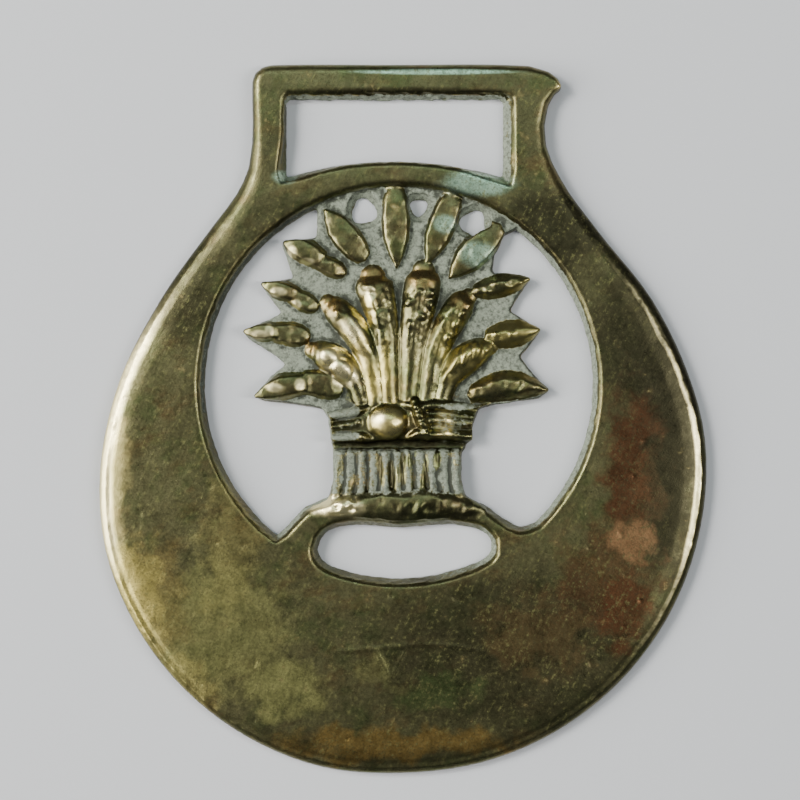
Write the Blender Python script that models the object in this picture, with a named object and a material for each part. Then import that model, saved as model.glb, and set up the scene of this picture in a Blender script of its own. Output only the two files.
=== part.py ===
# A cast horse brass: a crescent plate with a strap slot above and a wheat sheaf in a round window.
# It lies on its flat back, relief upwards, with the strap slot towards +Y. Lengths are in metres.

import math

import bmesh
import bpy
from mathutils import Vector

# The plate
HEIGHT = 0.0889
WIDTH = 0.0762
PLATE_THICKNESS = 0.0025
RIM_ROUND_WIDTH = 0.0030
RIM_ROUND_DEPTH = 0.0014
BACK_EDGE_ROUND = 0.0003
LOWER_LEFT_FULLNESS = 0.0008

# The strap slot, measured at the back, and the bars round it
SLOT_WIDTH = 0.0272
SLOT_HEIGHT = 0.0078
SLOT_SIDE_DROP = 0.0020
SLOT_CORNER = 0.0004
SLOT_OFF_CENTRE = -0.0010
TOP_BAR = 0.0043
LEFT_BAR = 0.0043
RIGHT_BAR = 0.0054
LUG = 0.0019
BAR_UNDER_SLOT = 0.0030

# The round window, measured at the front inside its broken edge, and the eyelets in its web
WINDOW_RADIUS = 0.0250
WINDOW_OFF_CENTRE = -0.0005
OUTER_EYELET_RADIUS = 0.00155
MIDDLE_EYELET_RADIUS = 0.00105
EYELET_LOBE_SHARE = 0.14
EYELET_SIDES = 14

# The thin web behind the sheaf, and how far each kind of carving stands out from it
WEB_THICKNESS = 0.0013
WEB_LET_IN = 0.0008
LEAF_RELIEF = 0.0013
EAR_RELIEF = 0.0017
STALK_RELIEF = 0.0012
BAND_RELIEF = 0.0011
CORD_RELIEF = 0.0017
CORD_END_RELIEF = 0.0019
KNOT_RELIEF = 0.0023
FOOT_RELIEF = 0.0020
STALK_COUNT = 11
CORD_TURNS = 3

# The openings are upright at the back, then widen to the front by a draft and a broken edge
UPRIGHT_SHARE = 0.25
DRAFT = 0.0006
WEB_DRAFT = 0.0003
SLOT_LEFT_DRAFT = 0.0003
SLOT_RIGHT_DRAFT = 0.0011
SLOT_TOP_DRAFT = 0.0005
SLOT_ARCH_DRAFT = 0.0002
SLOT_LOW_CORNER_DRAFT = 0.0009
EDGE_BREAK = 0.0004

# How finely curves are cut into straight pieces
OUTLINE_STEP = 0.0022
OPENING_STEP = 0.0020
SMALL_CURVE_STEP = 0.0010
RIDGE_STEP = 0.0014
RIM_STEPS = 4

# Cutters reach past the faces that they cut, and carvings below the web's face
OVERSHOOT = 0.0010
BED_DEPTH = 0.0006

# Cross sections of a carving from its crest out: share of the half width, share of the height
LEAF_SECTION = [(0, 1), (0.6, 0.78), (1, 0.15)]
ROUND_SECTION = [(0, 1), (0.45, 0.92), (0.82, 0.6), (1, 0)]
FULL_SECTION = [(0, 1), (0.5, 0.94), (0.85, 0.72), (1, 0.2)]

BRASS_COLOUR = (0.36, 0.29, 0.11, 1)
BRASS_ROUGHNESS = 0.35
SHARP_ANGLE = math.radians(35)

slotLeft = SLOT_OFF_CENTRE - SLOT_WIDTH / 2
slotRight = SLOT_OFF_CENTRE + SLOT_WIDTH / 2
slotTop = HEIGHT / 2 - TOP_BAR
slotBottom = slotTop - SLOT_HEIGHT
windowMiddle = Vector((WINDOW_OFF_CENTRE, slotBottom - BAR_UNDER_SLOT - WINDOW_RADIUS))


def onPlate(x, y):
    # A place in hundredths of the half width and of the half height, from the middle
    return Vector((x * WIDTH / 200, y * HEIGHT / 200))


def inWindow(x, y):
    # A place in hundredths of the window's radius, from its middle
    return windowMiddle + Vector((x, y)) * WINDOW_RADIUS / 100


def windowArc(radius, start, end):
    # Places along a circle round the window's middle, angles in degrees
    sweep = math.radians(end - start)
    count = max(2, round(abs(sweep) * radius / OPENING_STEP))
    angles = [math.radians(start) + sweep * i / count for i in range(count + 1)]
    return [windowMiddle + Vector((math.cos(a), math.sin(a))) * radius for a in angles]


def slopeAt(before, here, after):
    # Direction of the parabola through three stations, at the middle one
    back = (here - before).length
    ahead = (after - here).length
    return ((here - before) * ahead / back + (after - here) * back / ahead) / (back + ahead)


def smoothPath(stations, step, closed):
    # A smooth curve through every station, cut into pieces of about one step
    count = len(stations)
    path = []
    for i in range(count if closed else count - 1):
        start = stations[i]
        end = stations[(i + 1) % count]
        before = stations[i - 1] if closed or i > 0 else start * 2 - end
        after = stations[(i + 2) % count] if closed or i + 2 < count else end * 2 - start
        length = (end - start).length
        leave = slopeAt(before, start, end) * length
        arrive = slopeAt(start, end, after) * length
        pieces = max(1, round(length / step))
        for piece in range(pieces):
            t = piece / pieces
            path.append(
                start * (2 * t**3 - 3 * t**2 + 1)
                + leave * (t**3 - 2 * t**2 + t)
                + end * (3 * t**2 - 2 * t**3)
                + arrive * (t**3 - t**2)
            )
    if not closed:
        path.append(stations[-1])
    return path


def grown(loop, amounts):
    # A counter-clockwise loop moved outwards by one amount for each of its points
    moved = []
    for i, here in enumerate(loop):
        ahead = (loop[(i + 1) % len(loop)] - here).normalized()
        behind = (here - loop[i - 1]).normalized()
        along = (ahead + behind).normalized()
        moved.append(here + Vector((along.y, -along.x)) * amounts[i])
    return moved


def ring(loop, z):
    return [Vector((p.x, p.y, z)) for p in loop]


def loftedObject(name, rings, collection):
    # A closed body through rings of equally many points, capped at both ends
    bm = bmesh.new()
    rows = [[bm.verts.new(p) for p in points] for points in rings]
    for lower, upper in zip(rows, rows[1:]):
        for i in range(len(lower)):
            j = (i + 1) % len(lower)
            bm.faces.new((lower[i], lower[j], upper[j], upper[i]))
    bm.faces.new(rows[0])
    bm.faces.new(rows[-1])
    bmesh.ops.recalc_face_normals(bm, faces=bm.faces)
    mesh = bpy.data.meshes.new(name)
    bm.to_mesh(mesh)
    bm.free()
    mesh.shade_smooth()
    mesh.set_sharp_from_angle(angle=SHARP_ANGLE)
    obj = bpy.data.objects.new(name, mesh)
    collection.objects.link(obj)
    return obj


def helperCollection(name):
    collection = bpy.data.collections.new(name)
    bpy.context.scene.collection.children.link(collection)
    return collection


def addBoolean(obj, name, operation, helpers):
    modifier = obj.modifiers.new(name, "BOOLEAN")
    modifier.operation = operation
    modifier.solver = "EXACT"
    modifier.operand_type = "COLLECTION"
    modifier.collection = helpers
    for helper in helpers.objects:
        helper.hide_render = True
        helper.display_type = "WIRE"


def roundBottom():
    # The lower edge is half a circle as wide as the brass, a little fuller on the left
    radius = WIDTH / 2
    middle = Vector((0, radius - HEIGHT / 2))
    places = []
    for degrees in range(195, 360, 15):
        angle = math.radians(degrees)
        fuller = math.sqrt(max(0, math.sin(2 * (angle - math.pi))))
        reach = radius + LOWER_LEFT_FULLNESS * fuller
        places.append(middle + Vector((math.cos(angle), math.sin(angle))) * reach)
    return places


def plateOutline():
    # The outer edge, counter-clockwise from the top. Each station's third value is its share of
    # the rim's full roundness, for which the narrow hanger has no room.
    top = HEIGHT / 2
    hangerLeft = slotLeft - LEFT_BAR
    hangerRight = slotRight + RIGHT_BAR
    topLeft = [
        (slotRight, top, 0.35),
        (SLOT_OFF_CENTRE, top, 0.35),
        (slotLeft, top, 0.35),
        (slotLeft - 0.45 * LEFT_BAR, top - 0.01 * TOP_BAR, 0.35),
        (hangerLeft + 0.30 * LEFT_BAR, top - 0.08 * TOP_BAR, 0.3),
        (hangerLeft + 0.09 * LEFT_BAR, top - 0.25 * TOP_BAR, 0.3),
        (hangerLeft, top - 0.5 * TOP_BAR, 0.3),
        (hangerLeft, top - TOP_BAR, 0.35),
        (hangerLeft, slotBottom + 0.3 * SLOT_HEIGHT, 0.4),
    ]
    shoulderLeft = [
        (-50.8, 71, 0.6), (-54.8, 63.5, 0.8), (-61.3, 56, 0.9),
        (-80, 33.5, 1), (-93.3, 11, 1), (-100, -20, 1),
    ]
    shoulderRight = [(98.8, -1, 1), (94, 13, 1), (82, 34, 1), (64.5, 53, 0.9), (52, 68, 0.6)]
    lugAndCorner = [
        (hangerRight, slotBottom + 0.25 * SLOT_HEIGHT, 0.4),
        (hangerRight + 0.05 * RIGHT_BAR, top - 1.2 * TOP_BAR, 0.35),
        (hangerRight + 0.55 * LUG, top - 0.87 * TOP_BAR, 0.2),
        (hangerRight + 0.95 * LUG, top - 0.74 * TOP_BAR, 0.12),
        (hangerRight + LUG, top - 0.6 * TOP_BAR, 0.12),
        (hangerRight + 0.75 * LUG, top - 0.4 * TOP_BAR, 0.2),
        (hangerRight + 0.15 * LUG, top - 0.2 * TOP_BAR, 0.3),
        (slotRight + 0.6 * RIGHT_BAR, top - 0.03 * TOP_BAR, 0.35),
    ]
    stations = topLeft
    stations += [(*onPlate(x, y), share) for x, y, share in shoulderLeft]
    stations += [(*place, 1) for place in roundBottom()]
    stations += [(*onPlate(x, y), share) for x, y, share in shoulderRight]
    stations += lugAndCorner
    corners = [Vector((x, y, share * RIM_ROUND_WIDTH)) for x, y, share in stations]
    path = smoothPath(corners, OUTLINE_STEP, closed=True)
    return [p.xy for p in path], [p.z for p in path]


def makePlate(collection):
    outline, rimWidths = plateOutline()
    back = grown(outline, [-BACK_EDGE_ROUND] * len(outline))
    rings = [ring(back, 0), ring(outline, BACK_EDGE_ROUND)]
    for step in range(RIM_STEPS + 1):
        angle = math.pi / 2 * step / RIM_STEPS
        inset = 1 - math.cos(angle)
        z = PLATE_THICKNESS - RIM_ROUND_DEPTH * (1 - math.sin(angle))
        rings.append(ring(grown(outline, [-inset * width for width in rimWidths]), z))
    return loftedObject("horse_brass", rings, collection)


def makeOpening(name, loop, drafts, thickness, collection):
    # A cutter from a loop at the back, with one draft for each of its points
    edge = [draft + EDGE_BREAK for draft in drafts]
    above = [amount + OVERSHOOT / 2 for amount in edge]
    rings = [
        ring(loop, -OVERSHOOT),
        ring(loop, UPRIGHT_SHARE * thickness),
        ring(grown(loop, drafts), thickness - EDGE_BREAK),
        ring(grown(loop, edge), thickness),
        ring(grown(loop, above), thickness + OVERSHOOT),
    ]
    loftedObject(name, rings, collection)


def makeSlot(collection):
    # Straight above and at the sides, with an arched lower edge whose wall widens to the corners
    archPieces = round(SLOT_WIDTH / OPENING_STEP)
    arch = []
    drafts = []
    for i in range(archPieces + 1):
        outwards = 2 * i / archPieces - 1
        y = slotBottom - SLOT_SIDE_DROP * outwards**2
        arch.append(Vector((SLOT_OFF_CENTRE + SLOT_WIDTH / 2 * outwards, y)))
        drafts.append(SLOT_ARCH_DRAFT + (SLOT_LOW_CORNER_DRAFT - SLOT_ARCH_DRAFT) * outwards**4)
    low = slotBottom - SLOT_SIDE_DROP + 2 * SLOT_CORNER
    high = slotTop - SLOT_CORNER
    heights = [low, (low + high) / 2, high]
    widths = [slotRight - SLOT_CORNER, SLOT_OFF_CENTRE, slotLeft + SLOT_CORNER]
    right = [Vector((slotRight, y)) for y in heights]
    top = [Vector((x, slotTop)) for x in widths]
    left = [Vector((slotLeft, y)) for y in reversed(heights)]
    drafts[-1] = SLOT_RIGHT_DRAFT + SLOT_ARCH_DRAFT
    drafts += [SLOT_RIGHT_DRAFT] * len(right)
    drafts += [SLOT_TOP_DRAFT] * len(top)
    drafts += [SLOT_LEFT_DRAFT, SLOT_LEFT_DRAFT, SLOT_LOW_CORNER_DRAFT]
    makeOpening("strap_slot", arch + right + top + left, drafts, PLATE_THICKNESS, collection)


def makeWindow(collection):
    # The round window, down to the tops of the two arms that carry the sheaf's foot
    leftArm = [(-58.5, -73.5), (-54.5, -69), (-47, -61.5), (-34, -56)]
    rightArm = [(33, -56), (43, -60.5), (51.5, -66.5), (56, -69.5), (60.5, -71.5), (64, -71)]
    loop = windowArc(WINDOW_RADIUS - DRAFT, -45, 231)
    loop += [inWindow(x, y) for x, y in leftArm + rightArm]
    makeOpening("window", loop, [DRAFT] * len(loop), PLATE_THICKNESS, collection)


def makeOval(collection):
    # The long opening under the foot. Its lower edge goes on round the window's circle.
    lower = windowArc(WINDOW_RADIUS - DRAFT, 250, 290)
    rightEnd = [(42, -88), (46.5, -84), (46.5, -78.5), (41.5, -73.5)]
    underFoot = [(32, -71), (0, -72), (-25, -71)]
    leftEnd = [(-34, -73), (-39.5, -78), (-41, -83), (-38.5, -88.5)]
    upper = [inWindow(x, y) for x, y in rightEnd + underFoot + leftEnd]
    rest = smoothPath([lower[-1], *upper, lower[0]], SMALL_CURVE_STEP, closed=False)
    loop = lower + rest[1:-1]
    makeOpening("oval", loop, [DRAFT] * len(loop), PLATE_THICKNESS, collection)


def makeEyelets(collection):
    # Rounded triangles between the tops of the leaves: place, way that a corner points, radius
    eyelets = [
        (-17.5, 87, 100, OUTER_EYELET_RADIUS), (10, 89, -90, MIDDLE_EYELET_RADIUS),
        (37.5, 81, -60, OUTER_EYELET_RADIUS),
    ]
    for number, (x, y, degrees, radius) in enumerate(eyelets):
        loop = []
        for side in range(EYELET_SIDES):
            angle = math.tau * side / EYELET_SIDES
            lobes = 1 + EYELET_LOBE_SHARE * math.cos(3 * (angle - math.radians(degrees)))
            reach = radius * lobes
            loop.append(inWindow(x, y) + Vector((math.cos(angle), math.sin(angle))) * reach)
        makeOpening(f"eyelet_{number + 1}", loop, [DRAFT] * len(loop), WEB_THICKNESS, collection)


def makeWeb(collection):
    # The sheet behind the sheaf. Its sides run round the leaf tips, and its top is let into the plate.
    left = [
        (-41, 87), (-41.5, 74), (-57.5, 72), (-59, 70), (-55.5, 60.5), (-53, 53.5), (-59.5, 52.5),
        (-69, 49.5), (-65.5, 44.5), (-59, 36), (-67, 32), (-78.5, 26.5), (-74.5, 22), (-64.5, 16),
        (-57, 10), (-64.5, 4), (-73.5, -6), (-67, -8.5), (-49.5, -10.5), (-38.5, -12.5),
        (-35.5, -17), (-34.5, -27), (-31.5, -39.5), (-30.5, -53),
    ]
    foot = [(-34, -62), (36, -62)]
    right = [
        (33.5, -57), (29, -50.5), (29, -38.5), (33.5, -32), (38, -19.5), (40.5, -12.5), (50.5, -9.5),
        (70.5, -7.5), (75, -3.5), (69, 4), (61, 14), (66.5, 20), (71.5, 27), (65.5, 31), (56, 37),
        (59.5, 43), (66, 52.5), (60.5, 54), (50.5, 54.5), (47, 57), (48.5, 65.5), (52, 74), (59, 77.5),
    ]
    loop = [inWindow(x, y) for x, y in left + foot + right]
    loop += windowArc(WINDOW_RADIUS + WEB_LET_IN, 52, 114)
    rings = [
        ring(loop, -BED_DEPTH),
        ring(loop, UPRIGHT_SHARE * WEB_THICKNESS),
        ring(grown(loop, [-WEB_DRAFT] * len(loop)), WEB_THICKNESS),
    ]
    return loftedObject("web", rings, collection)


def makeRidge(name, stations, relief, section, collection):
    # A carving along a curved line on the web. A station holds its place, its half width in
    # hundredths of the window's radius, and its share of the relief.
    widthUnit = WINDOW_RADIUS / 100
    corners = [Vector((*inWindow(x, y), w * widthUnit, h * relief)) for x, y, w, h in stations]
    path = smoothPath(corners, RIDGE_STEP, closed=False)
    last = len(path) - 1
    sides = [(-s, h) for s, h in reversed(section)] + section[1:]
    rings = []
    for i, here in enumerate(path):
        along = path[min(i + 1, last)].xy - path[max(i - 1, 0)].xy
        across = Vector((along.y, -along.x)).normalized()
        halfWidth, height = here.z, here.w
        row = []
        for s, h in sides:
            place = here.xy + across * s * halfWidth
            row.append(Vector((place.x, place.y, WEB_THICKNESS + h * height)))
        for end in (row[-1], row[0]):
            row.append(Vector((end.x, end.y, WEB_THICKNESS - BED_DEPTH)))
        rings.append(row)
    loftedObject(name, rings, collection)


def makeLeaves(collection):
    # Root, tip, half width and sideways bow of each pointed leaf, clockwise from the lower left
    leaves = [
        (-31, -5, -72, -6, 8, -4), (-46, 25, -78, 26.5, 6.5, 0), (-43, 41, -69, 50.5, 6, 0),
        (-31, 57, -58, 71.5, 7, -1), (-17.5, 63, -36.5, 88, 6.8, 0), (-2, 100, -1, 59, 7, 0),
        (27.5, 97, 14.5, 61, 6.5, 0), (50, 77, 26.5, 53, 7.5, 0), (38, 46.5, 66, 53, 6.5, 0),
        (44, 23.5, 71, 27.5, 8, 0), (36, -5, 75, -3, 9, 3.5),
    ]
    # The same shape for all, from root to tip
    widths = (0.5, 0.85, 1, 0.9, 0.55, 0.1)
    heights = (0.45, 0.85, 1, 0.95, 0.7, 0.3)
    last = len(widths) - 1
    for number, (x0, y0, x1, y1, halfWidth, bow) in enumerate(leaves):
        root = Vector((x0, y0))
        tip = Vector((x1, y1))
        side = Vector((y0 - y1, x1 - x0)).normalized()
        stations = []
        for i in range(last + 1):
            place = root.lerp(tip, i / last) + side * bow * math.sin(math.pi * i / last)
            stations.append((place.x, place.y, halfWidth * widths[i], heights[i]))
        makeRidge(f"leaf_{number + 1}", stations, LEAF_RELIEF, LEAF_SECTION, collection)


def makeEars(collection):
    # Each ear of wheat from its round head down its narrowing stem: place and half width
    ears = [
        [(-45.5, 17, 3), (-40.5, 16, 6), (-33.5, 12.5, 7), (-26.5, 7.5, 7), (-22, 2, 5), (-19, -8, 4)],
        [(-37, 42, 4), (-31.5, 37.5, 7), (-24.5, 30, 7), (-18.5, 20.5, 5.5), (-14, 9, 4), (-11, -9, 4)],
        [(-13, 57.5, 4), (-12.5, 51.5, 9.5), (-10.5, 43, 8.5), (-7.5, 30.5, 7), (-6, 18, 5), (-4, -9, 4)],
        [(12.5, 60.5, 4), (12, 52.5, 9), (10.5, 42, 8.5), (8, 30, 7), (6, 18, 5.5), (4.5, -9, 4.3)],
        [(36, 46, 4), (32, 41, 6.5), (27, 33.5, 7), (22, 24.5, 6), (17.5, 13, 5), (13, -9, 4)],
        [(47, 19.5, 3.5), (40.5, 17, 6), (33.5, 12.5, 7), (27.5, 6.5, 6), (23.5, 0, 4.5), (20, -9, 4)],
    ]
    heights = (0.35, 0.9, 1, 0.85, 0.75, 0.7)
    for number, ear in enumerate(ears):
        stations = [(*station, height) for station, height in zip(ear, heights)]
        makeRidge(f"ear_{number + 1}", stations, EAR_RELIEF, ROUND_SECTION, collection)


def makeBand(collection):
    # What ties the sheaf: a raised bed, turns of cord over it, a round knot and the cord's end
    bed = [(-34, -21.5, 8.5, 0.9), (0, -18.5, 8.5, 1), (37, -19.5, 8.5, 0.9)]
    makeRidge("band_bed", bed, BAND_RELIEF, ROUND_SECTION, collection)
    topTurn = [(-34.5, -16.5), (-19, -12.8), (1, -11.2), (23, -11), (38, -13)]
    bottomTurn = [(-33.5, -27.5), (-19, -26.5), (1, -25.5), (23, -25.5), (35.5, -26.5)]
    cordHalfWidth = 2.9
    for turn in range(CORD_TURNS):
        stations = []
        for top, bottom in zip(topTurn, bottomTurn):
            place = Vector(top).lerp(Vector(bottom), turn / (CORD_TURNS - 1))
            stations.append((*place, cordHalfWidth, 1))
        makeRidge(f"cord_{turn + 1}", stations, CORD_RELIEF, ROUND_SECTION, collection)
    knot = [
        (-15.5, -18.5, 3, 0.4), (-11, -18.5, 8, 0.85), (-4, -18.5, 9.8, 1), (3, -18.5, 8, 0.85),
        (7.5, -18.5, 3, 0.4),
    ]
    makeRidge("knot", knot, KNOT_RELIEF, FULL_SECTION, collection)
    end = [(7, -8.5, 2, 0.7), (11, -14, 4.2, 1), (14, -21, 3.8, 1), (14.5, -27, 1.6, 0.7)]
    makeRidge("cord_end", end, CORD_END_RELIEF, ROUND_SECTION, collection)


def makeStalksAndFoot(collection):
    # The cut stalks under the band, and the foot that they stand in
    foot = [
        (-41, -64, 2, 0.5), (-30, -61.5, 5.5, 0.85), (-15, -60.5, 7.5, 1), (0, -60.5, 8.5, 1),
        (20, -60.5, 7.5, 1), (33, -61.5, 5.5, 0.85), (43.5, -64, 2, 0.5),
    ]
    makeRidge("foot", foot, FOOT_RELIEF, FULL_SECTION, collection)
    firstStalk, lastStalk = -30, 28.5
    spread = 1.12
    for number in range(STALK_COUNT):
        x = firstStalk + (lastStalk - firstStalk) * number / (STALK_COUNT - 1)
        stations = [(x, -26, 3.1, 0.9), (x, -38, 3.1, 1), (x, -49, 3.1, 1.15), (x * spread, -60, 2.6, 1.1)]
        makeRidge(f"stalk_{number + 1}", stations, STALK_RELIEF, ROUND_SECTION, collection)


def makeBench(collection):
    # Everything below the flat back comes off
    corners = [Vector((x * WIDTH, y * HEIGHT)) for x, y in ((-1, -1), (1, -1), (1, 1), (-1, 1))]
    loftedObject("bench", [ring(corners, -2 * OVERSHOOT), ring(corners, 0)], collection)


def brassMaterial():
    material = bpy.data.materials.new("old_brass")
    material.use_nodes = True
    shader = material.node_tree.nodes["Principled BSDF"]
    shader.inputs["Base Color"].default_value = BRASS_COLOUR
    shader.inputs["Metallic"].default_value = 1
    shader.inputs["Roughness"].default_value = BRASS_ROUGHNESS
    return material


def main():
    for obj in list(bpy.data.objects):
        bpy.data.objects.remove(obj, do_unlink=True)
    brass = makePlate(bpy.context.scene.collection)
    brass.data.materials.append(brassMaterial())

    openings = helperCollection("openings")
    makeSlot(openings)
    makeWindow(openings)
    makeOval(openings)
    addBoolean(brass, "cut_openings", "DIFFERENCE", openings)

    eyelets = helperCollection("eyelets")
    makeEyelets(eyelets)
    sheaf = helperCollection("sheaf")
    web = makeWeb(sheaf)
    addBoolean(web, "cut_eyelets", "DIFFERENCE", eyelets)
    makeLeaves(sheaf)
    makeEars(sheaf)
    makeBand(sheaf)
    makeStalksAndFoot(sheaf)
    addBoolean(brass, "add_sheaf", "UNION", sheaf)

    trims = helperCollection("trims")
    makeBench(trims)
    addBoolean(brass, "cut_back_flat", "DIFFERENCE", trims)


main()
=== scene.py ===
import math

import bmesh
import bpy
import numpy as np
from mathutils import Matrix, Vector


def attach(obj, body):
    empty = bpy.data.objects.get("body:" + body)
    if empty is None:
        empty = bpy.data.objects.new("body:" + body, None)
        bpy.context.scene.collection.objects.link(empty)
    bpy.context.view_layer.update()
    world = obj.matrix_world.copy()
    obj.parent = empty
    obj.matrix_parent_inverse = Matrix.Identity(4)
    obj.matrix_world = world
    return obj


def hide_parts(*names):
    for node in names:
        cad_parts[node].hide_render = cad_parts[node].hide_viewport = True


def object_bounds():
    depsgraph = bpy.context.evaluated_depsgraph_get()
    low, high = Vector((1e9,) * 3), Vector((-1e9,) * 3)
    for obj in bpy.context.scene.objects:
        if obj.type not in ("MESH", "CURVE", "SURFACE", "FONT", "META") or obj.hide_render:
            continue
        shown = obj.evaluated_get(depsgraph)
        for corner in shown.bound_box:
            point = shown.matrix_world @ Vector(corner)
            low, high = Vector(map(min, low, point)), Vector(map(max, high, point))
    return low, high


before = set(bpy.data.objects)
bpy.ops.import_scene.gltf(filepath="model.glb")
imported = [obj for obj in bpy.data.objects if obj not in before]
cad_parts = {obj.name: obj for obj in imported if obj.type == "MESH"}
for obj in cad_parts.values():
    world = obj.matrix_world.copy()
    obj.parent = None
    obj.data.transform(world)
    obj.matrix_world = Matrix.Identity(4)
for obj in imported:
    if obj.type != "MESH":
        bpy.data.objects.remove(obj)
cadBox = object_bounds()

# Lengths in the dictionaries are millimetres, with the origin in the middle of the back.
# Places and widths in the sheaf are hundredths of the window's radius, from the window's middle.
window = {"x": -0.5, "y": 4.35, "radius": 25.0, "webTop": 1.3}


# Shape helpers

def fade(values, low, high):
    # 0 below low, 1 above high, smooth between them
    t = np.clip((values - low) / (high - low), 0, 1)
    return t * t * (3 - 2 * t)


def clouds(x, y, size, seed):
    # Smooth random hills and hollows from -1 to 1, about one size apart
    cells = 97  # the pattern repeats after so many
    offset = 200.5
    table = np.random.default_rng(seed).random((cells, cells)) * 2 - 1
    u = x / size + offset
    v = y / size + offset
    i = np.floor(u).astype(int)
    j = np.floor(v).astype(int)
    s = u - i
    t = v - j
    s = s * s * (3 - 2 * s)
    t = t * t * (3 - 2 * t)
    i0, i1, j0, j1 = i % cells, (i + 1) % cells, j % cells, (j + 1) % cells
    low = table[i0, j0] * (1 - s) + table[i1, j0] * s
    high = table[i0, j1] * (1 - s) + table[i1, j1] * s
    return low * (1 - t) + high * t


def hill(x, y, place, halfLength, halfWidth, degrees=0):
    # A rounded oval hill of height 1 whose long axis is turned by that many degrees
    turn = math.radians(degrees)
    u = (x - place[0]) * math.cos(turn) + (y - place[1]) * math.sin(turn)
    v = (y - place[1]) * math.cos(turn) - (x - place[0]) * math.sin(turn)
    return np.sqrt(np.clip(1 - (u / halfLength) ** 2 - (v / halfWidth) ** 2, 0, 1))


def hills(x, y, rows):
    # Hills summed, each row a place, half length, half width, turn and height
    total = 0
    for place, halfLength, halfWidth, degrees, height in rows:
        total = total + height * hill(x, y, place, halfLength, halfWidth, degrees)
    return total


def inBox(x, y, corners):
    (left, bottom), (right, top) = corners
    return (x > left) & (x < right) & (y > bottom) & (y < top)


def toSheaf(x, y):
    step = window["radius"] / 100
    return (x - window["x"]) / step, (y - window["y"]) / step


def smoothLine(stations, pieces=14):
    # A smooth curve through the stations, all of whose columns are carried along
    rows = np.array(stations, float)
    padded = np.vstack([2 * rows[0] - rows[1], rows, 2 * rows[-1] - rows[-2]])
    t = np.arange(pieces)[:, None] / pieces
    parts = []
    for before, start, end, after in zip(padded, padded[1:], padded[2:], padded[3:]):
        leave = (end - before) / 2
        arrive = (after - start) / 2
        parts.append(
            start * (2 * t**3 - 3 * t**2 + 1) + leave * (t**3 - 2 * t**2 + t)
            + end * (3 * t**2 - 2 * t**3) + arrive * (t**3 - t**2)
        )
    parts.append(rows[-1:])
    return np.vstack(parts)


def alongLine(line, x, y):
    # For each point: how far along the line, how far past its ends, how far to one side, and
    # the line's other columns there
    tangent = np.gradient(line[:, :2], axis=0)
    tangent /= np.linalg.norm(tangent, axis=1)[:, None]
    steps = np.linalg.norm(np.diff(line[:, :2], axis=0), axis=1)
    length = np.concatenate([[0], np.cumsum(steps)])
    nearest = np.hypot(x[:, None] - line[:, 0], y[:, None] - line[:, 1]).argmin(1)
    dx = x - line[nearest, 0]
    dy = y - line[nearest, 1]
    tx, ty = tangent[nearest].T
    along = length[nearest] + dx * tx + dy * ty
    past = np.maximum(np.maximum(-along, along - length[-1]), 0)
    return along, past, dx * ty - dy * tx, line[nearest, 2:].T


def readVertices(mesh):
    count = len(mesh.vertices)
    points = np.empty(count * 3, np.float32)
    normals = np.empty(count * 3, np.float32)
    mesh.vertices.foreach_get("co", points)
    mesh.vertex_normals.foreach_get("vector", normals)
    return points.reshape(-1, 3).astype(float) * 1000, normals.reshape(-1, 3).astype(float)


def writeVertices(mesh, points):
    mesh.vertices.foreach_set("co", (points / 1000).astype(np.float32).ravel())
    mesh.update()


def spread(mesh, values, rounds):
    # Values evened out over the surface, one ring of neighbours a round
    pairs = np.empty(len(mesh.edges) * 2, np.int32)
    mesh.edges.foreach_get("vertices", pairs)
    a, b = pairs.reshape(-1, 2).T
    count = len(values)
    neighbours = np.bincount(a, minlength=count) + np.bincount(b, minlength=count)
    for _ in range(rounds):
        total = np.bincount(a, values[b], count) + np.bincount(b, values[a], count)
        values = 0.5 * values + 0.5 * total / neighbours
    return values


def applyModifiers(obj):
    graph = bpy.context.evaluated_depsgraph_get()
    mesh = bpy.data.meshes.new_from_object(obj.evaluated_get(graph))
    obj.modifiers.clear()
    obj.data = mesh


def remesh(obj, voxel, softening):
    # Even small faces all over, with the steps between them softened
    even = obj.modifiers.new("even", "REMESH")
    even.mode = "VOXEL"
    even.voxel_size = voxel / 1000
    soften = obj.modifiers.new("soften", "SMOOTH")
    soften.factor = 0.5
    soften.iterations = softening
    applyModifiers(obj)


def keepOnVertices(mesh, name, values):
    attribute = mesh.attributes.new(name, "FLOAT", "POINT")
    attribute.data.foreach_set("value", values.astype(np.float32))


# The sheaf's relief, worked out as a height over each place

# Root, tip, half width, sideways bow and kind of each leaf, clockwise from the lower left. The
# four on the left are two plates each, the outer one lying on the inner one.
leaves = [
    (-45, 1, -73.5, -6, 8, -1, "tipPlate"), (-29, -3, -52, 1, 8.5, -1.5, "backPlate"),
    (-59, 26.5, -79, 26.5, 6.2, 0, "tipPlate"), (-45, 24, -65, 26.5, 7.4, 0, "backPlate"),
    (-50.5, 44.5, -69.5, 51, 6.2, 0, "tipPlate"), (-41, 38, -56, 46, 6.2, 0, "backPlate"),
    (-38, 61.5, -59, 72, 7.8, -1, "tipPlate"), (-27, 55.5, -43, 63, 6, 0, "backPlate"),
    (-17.5, 63, -37.5, 88, 8.2, 0, "flat"), (-2, 100, -1, 58, 8, 0, "flat"),
    (28, 97, 14, 60, 8, 0, "flat"), (50, 79, 25, 53, 9, 0, "flat"),
    (38, 46.5, 66.5, 53, 7.8, 0, "domed"), (44, 23.5, 71.5, 27.5, 9.2, 0, "domed"),
    (36, -5, 75.5, -3, 10, 3.5, "domed"),
]
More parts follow.
